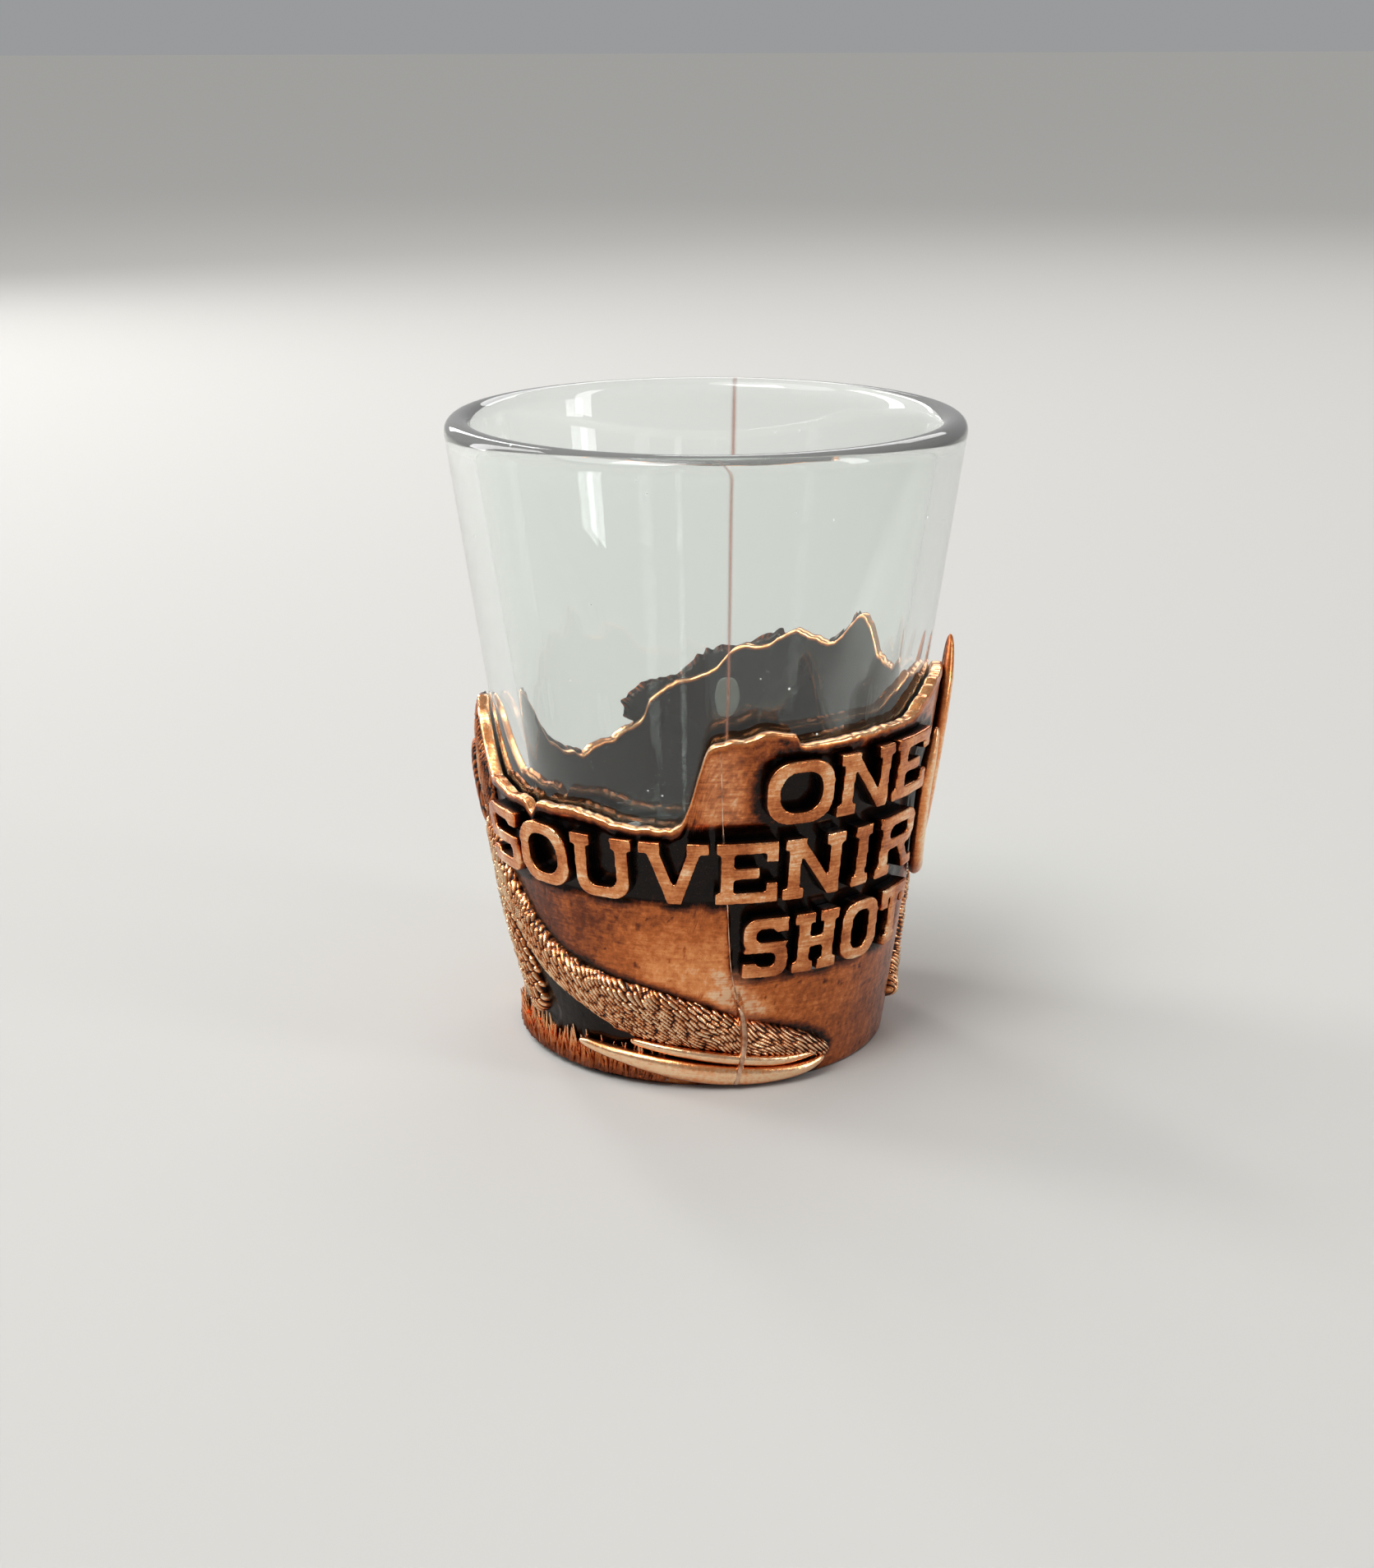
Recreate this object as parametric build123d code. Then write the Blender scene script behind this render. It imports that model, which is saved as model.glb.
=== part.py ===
from build123d import *
from math import atan2, cos, pi, radians, sin
import os

# Souvenir shot glass: a pressed clear tumbler that stands in a cast metal wrap.
# Millimetres. The origin is the middle of the base, +Z is up, and the front, where the wrap
# is soldered shut and lettered, faces -Y. An angle is measured round the axis from the
# front, positive towards +X, and a place on the wrap is a pair (angle in degrees, height).

# Tumbler
HEIGHT = 60.0
BASE_RADIUS = 15.95
RIM_RADIUS = 24.2
WALL = 2.6                # thickness of the side wall, and of the fully rounded rim
FLOOR = 13.0              # height of the middle of the cup's floor
FLOOR_RISE = 1.0          # the bowl-shaped floor climbs this much on its way to the wall
CORNER_RADIUS = 5.0       # inside corner between the floor and the wall
FOOT_ROUND = 1.2          # outside corner at the base
PUNT_RADIUS = 11.0        # shallow hollow under the base
PUNT_DEPTH = 0.8

# Wrap: distances out from the tumbler's outer cone
GLUE_GAP = 0.2            # between the tumbler and the back of the wrap
PLATE = 1.4               # face of the plain plate
LOW_RELIEF = 2.2          # bodies and grass
LETTER_FACE = 2.5
MIDDLE_RELIEF = 2.6       # legs, trunks and heads
HIGH_RELIEF = 2.8         # ears and tusks
TALLEST = 42.0            # higher than any point of the wrap
CRUMB = 0.5               # volume of a sliver that a cast relief wouldn't keep
PLUG_INSIDE = -9.0        # cutting walls run from here
PLUG_OUTSIDE = 16.0       # to here, well clear of the wrap

# Top edge of the wrap, once round
TOP_EDGE = [
    (-180, 30.4), (-170, 29.6), (-162, 28.0), (-157, 25.6), (-141, 24.2), (-131, 23.8),
    (-114, 26.5), (-101, 31.4), (-92, 33.0), (-84, 31.8), (-78, 28.6), (-71, 27.0),
    (-54, 26.6), (-36, 27.2), (-19, 26.3), (-8, 26.4), (-4.5, 28.2), (-1.5, 31.8),
    (1.5, 34.3), (9, 35.1), (20, 35.3), (30, 34.1), (45, 34.1), (60, 34.4),
    (74, 36.2), (86, 36.6), (99, 35.0), (112, 35.0), (120, 37.4), (127, 38.1),
    (133, 35.6), (139, 34.6), (150, 35.2), (162, 33.5), (171, 32.8),
]

# Broad parts of the relief: closed outlines of (angle, height)
BULL_BODY = [
    (134, 40), (160, 41), (182, 39), (197, 36), (202, 27), (201, 17), (196, 11), (180, 9.5),
    (160, 8.5), (144, 9), (134, 13), (128, 21), (128, 31),
]
BULL_HEAD = [
    (127, 41), (118, 40.5), (112.5, 34), (110.5, 27.5), (112, 21), (119, 17.5), (127, 18.5),
    (132.5, 23), (134.5, 30), (132, 37),
]
BULL_EAR = [(127, 30.5), (131, 30.5), (133, 26.5), (130.5, 23), (127, 25)]
CALF_BODY = [
    (-104, 31), (-128, 29), (-145, 29), (-152, 23), (-154, 14), (-150, 8.5), (-135, 7),
    (-120, 7), (-108, 9), (-101, 15), (-99, 24),
]
CALF_HEAD = [
    (-98, 36), (-86, 36), (-79, 31), (-76, 23.5), (-78, 17.5), (-85, 14.5), (-94, 15),
    (-101, 20), (-103, 29),
]
CALF_EAR = [(-98, 27), (-94, 27.5), (-91.5, 24.5), (-93.5, 20.5), (-98, 22)]
GRASS = [
    (-88, 2.2), (-72, 2.8), (-60, 2.2), (-48, 3.2), (-36, 3.2), (-29, 2.4), (-28, 1.0),
    (-40, 0.4), (-60, 0.3), (-76, 0.3), (-87, 0.6),
]

# Limbs: stations of (angle, height, half width) along the middle line
BULL_TRUNK = [
    (114, 25, 2.3), (107, 20, 2.1), (100, 14.5, 1.8), (96, 8.5, 1.5), (91, 4.2, 1.2),
    (84.5, 3.4, 0.8),
]
BULL_NEAR_TUSK = [
    (116, 19, 1.3), (106, 16, 1.25), (96, 16.6, 1.2), (89.5, 21, 1.15), (86.5, 27, 1.0),
    (88, 33, 0.8), (94, 38.5, 0.4),
]
BULL_FAR_TUSK = [
    (83, 16.6, 1.1), (76.5, 18.4, 1.1), (72, 22.5, 1.0), (70.5, 27, 0.8), (73, 31.6, 0.4),
]
BULL_LEGS = [
    [(141, 12, 1.7), (140.5, 6, 1.4), (140.5, 1.9, 1.6)],
    [(153, 10.5, 1.2), (152.5, 6, 1.0), (152.5, 1.7, 1.2)],
    [(180, 11, 1.3), (180.5, 6, 1.1), (180.5, 1.7, 1.3)],
    [(193.5, 13, 2.0), (194, 6, 1.5), (194, 2.0, 1.7)],
]
CALF_TRUNK = [
    (-74, 17.6, 1.5), (-62, 13.8, 1.4), (-50, 10.9, 1.4), (-36, 9.2, 1.7), (-20, 7.5, 2.4),
    (-5, 6.4, 2.2), (9, 5.2, 1.8), (23, 4.1, 1.5), (36, 2.7, 1.0),
]
CALF_TUSK = [(-26, 3.2, 0.7), (-12, 2.5, 0.95), (4, 1.6, 0.9), (20, 1.2, 0.7), (34, 1.0, 0.4)]
CALF_LEGS = [
    [(-71, 11, 1.3), (-61, 7.5, 1.2), (-53, 5.0, 0.9)],
    [(-102, 12, 1.3), (-102, 6, 1.0), (-102, 1.8, 1.2)],
    [(-113, 9, 1.0), (-113, 5, 0.8), (-113, 1.6, 1.0)],
    [(-145, 11, 1.6), (-145, 6, 1.2), (-145, 1.8, 1.4)],
]

# Solder seam and the nicks in the bottom edge
SEAM = [(3.2, 37.0), (4.1, 26.7), (5.5, 19.0), (6.9, 12.2), (9.8, 8.0), (10.6, 5.0), (8.4, 0.3)]
SEAM_WIDTH = 0.45
BEAD_WIDTH = 0.9
BEAD_FACE = 2.9
BEAD_STATIONS = 3         # the last stretches of the seam carry a raised bead
NICKS = (45.0, -96.0)
NICK_DEPTH = 0.5

# Glue dabs: (angle, height), all ovals of one size
GLUE_DABS = [(173, 27.7), (140, 12), (100, 26), (50, 14), (-40, 18), (-85, 22), (-130, 14)]
DAB_HALF_ANGLE = 4.4
DAB_HALF_HEIGHT = 2.4

# Lettering: rows of (letters, first and last edge in degrees, height of the base line)
LETTER_HEIGHT = 6.0
STROKE = 1.2              # thick stroke of a letter
SERIF = 1.1               # height of a slab serif
OVERHANG = 0.42           # of a slab serif, past its stem
LETTER_GAP = 0.6
S_GAP = 0.95              # opening at each side of an S
ROWS = {
    "letters_upper": ("ONE", 14.0, 65.0, 26.7),
    "letters_middle": ("SOUVENIR", -69.0, 64.0, 19.2),
    "letters_lower": ("SHOT", 9.5, 65.0, 11.6),
}


# ---------------------------------------------------------------- places on the cone

def glass_radius(height):
    """Radius of the tumbler's outer cone."""
    return BASE_RADIUS + (RIM_RADIUS - BASE_RADIUS) * height / (HEIGHT - WALL / 2)


def place(angle, height, offset):
    """A point at a distance out from the tumbler's outer cone."""
    radius = glass_radius(height) + offset
    return Vector(radius * sin(radians(angle)), -radius * cos(radians(angle)), height)


def rails(loop):
    """The inner and the outer edge of a wall that stands straight out along a closed line."""
    return [Spline(*[place(a, h, off) for a, h in loop], periodic=True).edge()
            for off in (PLUG_INSIDE, PLUG_OUTSIDE)]


def cone_ring(inner, outer):
    """A full ring of the cone between two offsets from the tumbler."""
    corners = [(glass_radius(h) + off, h) for h, off in
               ((0, inner), (0, outer), (TALLEST, outer), (TALLEST, inner))]
    section = Plane.XZ * make_face(Polyline(*corners, close=True))
    ring_seam = 61            # no outline has a point at this turn
    return revolve(section, Axis.Z, 360).rotate(Axis.Z, ring_seam).solid()


def below_top_edge():
    """Everything round the tumbler that is lower than the wrap's top edge."""
    inner, outer = rails(TOP_EDGE)
    depth = -5.0
    start = Plane(origin=(0, 0, depth), x_dir=(0, 1, 0), z_dir=(0, 0, 1))
    low_inner, low_outer = [Edge.make_circle(glass_radius(depth) + off, start)
                            for off in (PLUG_INSIDE, PLUG_OUTSIDE)]
    return Solid(Shell([
        Face.make_surface_from_curves(inner, outer),
        Face.make_surface_from_curves(inner, low_inner),
        Face.make_surface_from_curves(outer, low_outer),
        Face(Wire([low_outer]), [Wire([low_inner])]),
    ]))


def patch(loop, inner, outer, trimmed=True):
    """The part of the cone ring inside a closed smooth line, trimmed to the top edge."""
    wall = Face.make_surface_from_curves(*rails(loop))
    pieces = cone_ring(inner, outer).split(wall, keep=Keep.ALL)
    piece = min(pieces, key=lambda solid: abs(solid.volume))
    return one_solid(piece & below_top_edge()) if trimmed else piece


def one_solid(shape):
    """The largest solid of a boolean's result."""
    return max(shape.solids(), key=lambda solid: solid.volume)


def less(solid, others):
    """What is left of a solid beside its neighbours, without crumbs, as a list of solids."""
    left = solid
    for other in others:
        left = left - other
    return [piece for piece in left.solids() if piece.volume > CRUMB]


def limb(stations):
    """The closed outline of a tapering limb, round at both ends."""
    reach = [glass_radius(h) + MIDDLE_RELIEF for a, h, w in stations]
    middle = [(radians(a) * r, h, w) for (a, h, w), r in zip(stations, reach)]
    left, right = [], []
    for i, (x, h, w) in enumerate(middle):
        x1, h1, _ = middle[max(i - 1, 0)]
        x2, h2, _ = middle[min(i + 1, len(middle) - 1)]
        heading = atan2(h2 - h1, x2 - x1)
        for side, turn in ((left, pi / 2), (right, -pi / 2)):
            side.append((x + w * cos(heading + turn), h + w * sin(heading + turn)))
        if i in (0, len(middle) - 1):
            outward = heading + (pi if i == 0 else 0)
            end = (x + w * cos(outward), h + w * sin(outward))
            left, right = ([end] + left, right) if i == 0 else (left + [end], right)
    return [(x / (glass_radius(h) + MIDDLE_RELIEF) * 180 / pi, h)
            for x, h in left + right[::-1]]


# ---------------------------------------------------------------- tumbler and glue

def glass_tumbler():
    """Pressed soda-lime glass with a thick base, a bowl-shaped floor and a round rim."""
    shoulder = HEIGHT - WALL / 2
    corner = (glass_radius(FLOOR + FLOOR_RISE) - WALL, FLOOR + FLOOR_RISE)
    outline = Curve() + [
        Line((0, PUNT_DEPTH), (0, FLOOR)),
        TangentArc((0, FLOOR), corner, tangent=(1, 0)),
        Line(corner, (RIM_RADIUS - WALL, shoulder)),
        ThreePointArc((RIM_RADIUS - WALL, shoulder), (RIM_RADIUS - WALL / 2, HEIGHT),
                      (RIM_RADIUS, shoulder)),
        Line((RIM_RADIUS, shoulder), (BASE_RADIUS, 0)),
        Line((BASE_RADIUS, 0), (PUNT_RADIUS, 0)),
        TangentArc((0, PUNT_DEPTH), (PUNT_RADIUS, 0), tangent=(1, 0)),
    ]
    section = make_face(outline)
    for spot, radius in ((corner, CORNER_RADIUS), ((BASE_RADIUS, 0), FOOT_ROUND)):
        section = fillet(section.vertices().sort_by_distance(spot)[0], radius)
    return revolve(Plane.XZ * section, Axis.Z, 360).solid()


def adhesive_dabs():
    """Clear dabs behind the wrap, which stop the tapered tumbler lifting out."""
    turns = [radians(turn) for turn in range(0, 360, 45)]
    return [patch([(angle + DAB_HALF_ANGLE * sin(t), height + DAB_HALF_HEIGHT * cos(t))
                   for t in turns], 0, GLUE_GAP)
            for angle, height in GLUE_DABS]


# ---------------------------------------------------------------- wrap, seam and relief

def seam_solder():
    """The solder that closes the wrap: a thin fill, and a raised bead on the lowest stretch."""
    fill = limb([(a, h, SEAM_WIDTH / 2) for a, h in SEAM])
    bead = limb([(a, max(h, BEAD_WIDTH), BEAD_WIDTH / 2) for a, h in SEAM[-BEAD_STATIONS:]])
    return one_solid(patch(fill, GLUE_GAP, PLATE) + patch(bead, PLATE, BEAD_FACE))


def wrap_band(seam):
    """The plain plate of the casting, open at the seam, with nicks in its bottom edge."""
    band = one_solid(cone_ring(GLUE_GAP, PLATE) & below_top_edge())
    cuts = [(angle, NICK_DEPTH, NICK_DEPTH) for angle in NICKS]
    cuts.append((SEAM[-1][0], SEAM_WIDTH, seam.bounding_box().min.Z + SEAM_WIDTH / 2))
    for angle, width, depth in cuts:
        notch = Pos(place(angle, 0, PLATE / 2)) * Rot(0, 0, angle) * Box(width, 4, 2 * depth)
        band = one_solid(band - notch)
    return less(band, [seam])


def relief(seam):
    """The raised animals and grass, each cut back where a nearer piece lies over it."""
    pieces = {}

    def raised(name, outlines, face, nearer=(), trimmed=True):
        others = [solid for other in nearer for solid in pieces[other]]
        pieces[name] = [solid for outline in outlines
                        for solid in less(patch(outline, PLATE, face, trimmed), [seam] + others)]

    raised("bull_tusk_near", [limb(BULL_NEAR_TUSK)], HIGH_RELIEF, trimmed=False)
    raised("bull_tusk_far", [limb(BULL_FAR_TUSK)], HIGH_RELIEF, ["bull_tusk_near"])
    raised("bull_ear", [BULL_EAR], HIGH_RELIEF)
    raised("bull_head", [BULL_HEAD], MIDDLE_RELIEF, ["bull_tusk_near", "bull_ear"])
    raised("bull_trunk", [limb(BULL_TRUNK)], MIDDLE_RELIEF,
           ["bull_tusk_near", "bull_tusk_far", "bull_head"])
    raised("bull_legs", [limb(leg) for leg in BULL_LEGS], MIDDLE_RELIEF)
    raised("bull_body", [BULL_BODY], LOW_RELIEF, ["bull_head", "bull_ear", "bull_legs"])
    raised("calf_tusk", [limb(CALF_TUSK)], HIGH_RELIEF)
    raised("calf_ear", [CALF_EAR], HIGH_RELIEF)
    raised("calf_head", [CALF_HEAD], MIDDLE_RELIEF, ["calf_ear"])
    raised("calf_trunk", [limb(CALF_TRUNK)], MIDDLE_RELIEF, ["calf_head", "calf_tusk"])
    raised("calf_legs", [limb(leg) for leg in CALF_LEGS], MIDDLE_RELIEF,
           ["calf_head", "calf_trunk"])
    raised("calf_body", [CALF_BODY], LOW_RELIEF, ["calf_head", "calf_ear", "calf_legs"])
    raised("grass_fringe", [GRASS], LOW_RELIEF, ["calf_legs", "calf_tusk", "calf_trunk"])
    return pieces


# ---------------------------------------------------------------- lettering

def bar(x, y, width, height):
    """A rectangle by its lower left corner."""
    return Pos(x + width / 2, y + height / 2) * Rectangle(width, height)


def slab(x, at_top, overhang=OVERHANG):
    """A slab serif on the foot or the head of a stem that starts at x."""
    y = LETTER_HEIGHT - SERIF if at_top else 0
    return bar(x - overhang, y, STROKE + 2 * overhang, SERIF)


def stem(x, head=True, foot=True):
    """A full-height thick stroke with its slab serifs."""
    shape = bar(x, 0, STROKE, LETTER_HEIGHT)
    for wanted, at_top in ((head, True), (foot, False)):
        shape = shape + slab(x, at_top) if wanted else shape
    return shape


def hoop(x, y, width, height):
    """A rounded closed stroke, as thick as a stem at its sides and as a serif at its ends."""
    middle = Pos(x + width / 2, y + height / 2)
    outer = RectangleRounded(width, height, min(width, height) * 0.38)
    hole = (width - 2 * STROKE, height - 2 * SERIF)
    return middle * (outer - RectangleRounded(*hole, min(hole) * 0.42))


def glyph(letter, width):
    """The flat outline of a slab-serif capital, as wide as its cell."""
    left, right = OVERHANG, width - OVERHANG - STROKE
    top = LETTER_HEIGHT
    if letter == "O":
        return hoop(0, 0, width, top)
    if letter == "I":
        return stem(width / 2 - STROKE / 2)
    if letter == "H":
        return stem(left) + stem(right) + bar(left, (top - SERIF) / 2, right - left, SERIF)
    if letter == "N":
        slope = Polygon((left, top), (right, 0), (right + STROKE, 0), (left + STROKE, top),
                        align=None)
        return stem(left, foot=True) + stem(right, foot=False) + slope
    if letter == "T":
        drop = SERIF * 1.9
        ends = bar(0, top - drop, SERIF, drop) + bar(width - SERIF, top - drop, SERIF, drop)
        return stem(width / 2 - STROKE / 2) + bar(0, top - SERIF, width, SERIF) + ends
    if letter == "E":
        arms = bar(left, top - SERIF, width - left, SERIF) + bar(left, 0, width - left, SERIF)
        ends = bar(width - SERIF, 0, SERIF, SERIF * 1.8)
        ends += bar(width - SERIF, top - SERIF * 1.8, SERIF, SERIF * 1.8)
        middle = bar(left, (top - SERIF) / 2, width * 0.62, SERIF)
        return stem(left) + arms + ends + middle
    if letter == "U":
        bowl = hoop(left, 0, right + STROKE - left, top * 0.75)
        bowl -= bar(left + STROKE, top * 0.4, right - left - STROKE, top)
        lift = top * 0.3
        sides = bar(left, lift, STROKE, top - lift) + bar(right, lift, STROKE, top - lift)
        return bowl + sides + slab(left, True) + slab(right, True)
    if letter == "V":
        foot = width / 2
        sides = Polygon((left, top), (foot - STROKE / 2, 0), (foot + STROKE / 2, 0),
                        (right + STROKE, top), (right, top), (foot, STROKE * 1.3),
                        (left + STROKE, top), align=None)
        return sides + slab(left, True) + slab(right, True)
    if letter == "R":
        waist = top * 0.42
        bowl = hoop(left, waist, width - left - 0.3, top - waist) + bar(left, waist, STROKE, SERIF)
        knee = width * 0.45
        leg = Polygon((knee, waist + SERIF / 2), (width - 0.2 - STROKE, 0), (width - 0.2, 0),
                      (knee + STROKE, waist + SERIF / 2), align=None)
        return stem(left) + bowl + leg + bar(width - STROKE - 0.5, 0, STROKE + 0.5, SERIF)
    if letter == "S":
        waist = (top - SERIF) / 2
        upper = hoop(0, waist, width, top - waist)
        upper -= bar(width / 2, waist + SERIF, width, S_GAP)
        lower = hoop(0, 0, width, waist + SERIF)
        lower -= bar(-width / 2, waist - S_GAP, width, S_GAP)
        tip = waist - S_GAP
        return upper + lower + bar(width - SERIF, top - tip, SERIF, tip) + bar(0, 0, SERIF, tip)
    raise ValueError(letter)


CELLS = {"I": 2.5, "S": 4.4, "E": 4.4, "T": 4.7, "V": 5.0, "R": 4.9}
WIDE_CELL = 4.8


def lettering(text, start, end, base_line):
    """A row of raised letters spread evenly between two angles, each its own solid."""
    radius = glass_radius(base_line + LETTER_HEIGHT / 2) + LETTER_FACE
    room = radians(end - start) * radius - LETTER_GAP * (len(text) - 1)
    cells = [CELLS.get(letter, WIDE_CELL) for letter in text]
    stretch = room / sum(cells)
    shell = cone_ring(PLATE, LETTER_FACE)
    letters, x = [], 0.0
    for letter, cell in zip(text, cells):
        width = cell * stretch
        angle = radians(start) + (x + width / 2) / radius
        outward = (sin(angle), -cos(angle), 0)
        plane = Plane(origin=(0, 0, base_line), x_dir=(cos(angle), sin(angle), 0),
                      z_dir=outward)
        flat = plane * (Pos(-width / 2, 0) * glyph(letter, width))
        letters.append(one_solid(extrude(flat, amount=2 * RIM_RADIUS, dir=outward) & shell))
        x += width + LETTER_GAP
    return letters


# ---------------------------------------------------------------- the whole object

def nodes():
    """Every named piece, as a list of its solids."""
    seam = seam_solder()
    rows = {name: lettering(*row) for name, row in ROWS.items()}
    base = {
        "glass_tumbler": [glass_tumbler()],
        "adhesive_dabs": adhesive_dabs(),
        "seam_solder": [seam],
        "wrap_band": wrap_band(seam),
    }
    return base | relief(seam) | rows


os.makedirs("parts", exist_ok=True)
for name, solids in nodes().items():
    shape = Compound(children=solids) if len(solids) > 1 else solids[0]
    shape.label = name
    export_step(shape, f"parts/{name}.step")
    print(name, len(solids), round(sum(solid.volume for solid in solids), 1))
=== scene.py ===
from math import atan2, cos, hypot, pi, radians, sin

import bmesh
import bpy
import numpy as np
from mathutils import Matrix, Vector
from mathutils.bvhtree import BVHTree


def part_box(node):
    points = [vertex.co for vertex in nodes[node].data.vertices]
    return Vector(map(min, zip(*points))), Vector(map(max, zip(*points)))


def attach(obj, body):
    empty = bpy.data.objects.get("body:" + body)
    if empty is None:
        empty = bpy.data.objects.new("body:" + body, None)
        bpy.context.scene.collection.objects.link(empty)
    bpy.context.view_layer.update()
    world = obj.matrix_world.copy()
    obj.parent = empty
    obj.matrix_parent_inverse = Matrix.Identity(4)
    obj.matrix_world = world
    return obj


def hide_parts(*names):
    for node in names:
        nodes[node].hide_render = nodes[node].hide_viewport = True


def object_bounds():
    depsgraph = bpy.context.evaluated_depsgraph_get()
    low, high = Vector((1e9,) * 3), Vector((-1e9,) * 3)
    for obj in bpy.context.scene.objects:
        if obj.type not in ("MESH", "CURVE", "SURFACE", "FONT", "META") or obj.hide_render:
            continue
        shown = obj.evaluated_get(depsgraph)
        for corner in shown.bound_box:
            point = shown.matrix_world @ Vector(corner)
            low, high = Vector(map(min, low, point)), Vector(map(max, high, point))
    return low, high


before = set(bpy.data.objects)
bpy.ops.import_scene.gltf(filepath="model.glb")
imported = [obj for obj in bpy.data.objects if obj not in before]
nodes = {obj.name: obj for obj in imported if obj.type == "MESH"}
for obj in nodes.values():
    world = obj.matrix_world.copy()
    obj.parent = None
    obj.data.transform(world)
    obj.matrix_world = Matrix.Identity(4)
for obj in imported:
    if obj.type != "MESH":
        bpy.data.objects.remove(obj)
cad_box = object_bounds()
MM = 0.001


# ------------------------------------------------------------------ camera
# It stands 24 cm from the middle of the glass, a little above the rim, and looks down at it.

eye = Vector((0.0, -0.2304, 0.0961))
pitch, yaw, roll = radians(17.38), radians(-0.456), radians(-0.19)
ahead = Vector((sin(yaw) * cos(pitch), cos(yaw) * cos(pitch), -sin(pitch)))
level = Vector((cos(yaw), -sin(yaw), 0))
upright = level.cross(ahead)
side = level * cos(roll) + upright * sin(roll)
top = upright * cos(roll) - level * sin(roll)

camera_data = bpy.data.cameras.new("camera")
camera_data.lens = 57.26
camera_data.sensor_width = 36
camera_data.clip_start = 0.01
camera = bpy.data.objects.new("camera", camera_data)
camera.matrix_world = Matrix.Translation(eye) @ Matrix((side, top, -ahead)).transposed().to_4x4()
bpy.context.scene.collection.objects.link(camera)
bpy.context.scene.camera = camera


# ------------------------------------------------------------------ studio
# A pale matt floor and sky, and soft lamps: one high at the left, two tall ones for the streaks
# in the glass, a weak one at the right, and one behind for the rim.

def hex_colour(code):
    """An sRGB hex colour as the linear RGBA that shaders take."""
    parts = [int(code[i:i + 2], 16) / 255 for i in (1, 3, 5)]
    return [c / 12.92 if c <= 0.04045 else ((c + 0.055) / 1.055) ** 2.4 for c in parts] + [1.0]


def add(tree, kind, inputs=None, **settings):
    """Adds a node to a tree, with its settings, and with its inputs linked or given a value."""
    node = tree.nodes.new(kind)
    for key, value in settings.items():
        setattr(node, key, value)
    for key, value in (inputs or {}).items():
        if isinstance(value, bpy.types.NodeSocket):
            tree.links.new(value, node.inputs[key])
        else:
            node.inputs[key].default_value = value
    return node


def new_material(name, shown_colour):
    """A material with an empty node tree, and the colour that plain views show."""
    material = bpy.data.materials.new(name)
    material.use_nodes = True
    material.node_tree.nodes.clear()
    material.diffuse_color = hex_colour(shown_colour)
    return material


FLOOR_REACH = 5.0
floor_corners = [(x * FLOOR_REACH, y * FLOOR_REACH, 0)
                 for x, y in ((-1, -1), (1, -1), (1, 1), (-1, 1))]
floor_mesh = bpy.data.meshes.new("floor")
floor_mesh.from_pydata(floor_corners, [], [(0, 1, 2, 3)])
floor = bpy.data.objects.new("floor", floor_mesh)
bpy.context.scene.collection.objects.link(floor)
floor_paint = new_material("matt_floor_paint", "#D8D6D2")
tree = floor_paint.node_tree
shader = add(tree, "ShaderNodeBsdfPrincipled",
             {"Base Color": hex_colour("#B9B7B3"), "Roughness": 0.9})
add(tree, "ShaderNodeOutputMaterial", {"Surface": shader.outputs[0]})
floor_mesh.materials.append(floor_paint)

world = bpy.data.worlds.new("studio")
world.use_nodes = True
background = world.node_tree.nodes["Background"].inputs
background["Color"].default_value = hex_colour("#D9DBDD")
background["Strength"].default_value = 0.46
bpy.context.scene.world = world
bpy.context.scene.view_settings.view_transform = "Standard"

sky_light = bpy.data.lights.new("sky_light", "SUN")
sky_light.energy = 1.45
sky_light.angle = radians(50)
sky = bpy.data.objects.new("sky_light", sky_light)
sky.matrix_world = Vector((0.5, 0.4, -1)).to_track_quat("-Z", "Y").to_matrix().to_4x4()
bpy.context.scene.collection.objects.link(sky)


def soft_lamp(name, place, size, power):
    """A rectangular soft lamp that points at the middle of the glass."""
    data = bpy.data.lights.new(name, "AREA")
    data.shape = "RECTANGLE"
    data.size, data.size_y = size
    data.energy = power
    lamp = bpy.data.objects.new(name, data)
    aim = Vector((0, 0, 0.03)) - Vector(place)
    turn = aim.to_track_quat("-Z", "Y").to_matrix().to_4x4()
    lamp.matrix_world = Matrix.Translation(place) @ turn
    bpy.context.scene.collection.objects.link(lamp)


soft_lamp("key_lamp", (-0.30, -0.45, 0.75), (0.35, 0.35), 2.8)
soft_lamp("tall_lamp", (-0.55, 0.25, 0.35), (0.16, 0.60), 2.2)
soft_lamp("window_lamp", (-0.28, 0.52, 0.34), (0.07, 0.45), 1.1)
soft_lamp("fill_lamp", (0.60, -0.25, 0.30), (0.12, 0.50), 1.1)
soft_lamp("rim_lamp", (0.20, 0.70, 0.50), (0.50, 0.25), 1.4)


# ------------------------------------------------------------------ tumbler
# Pressed clear soda-lime glass: a thick base, a straight taper, a fire-polished round rim, and
# the fine line of the mould's joint down the back, with a painted copper reflection along it.
# Sizes are in millimetres.

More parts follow.
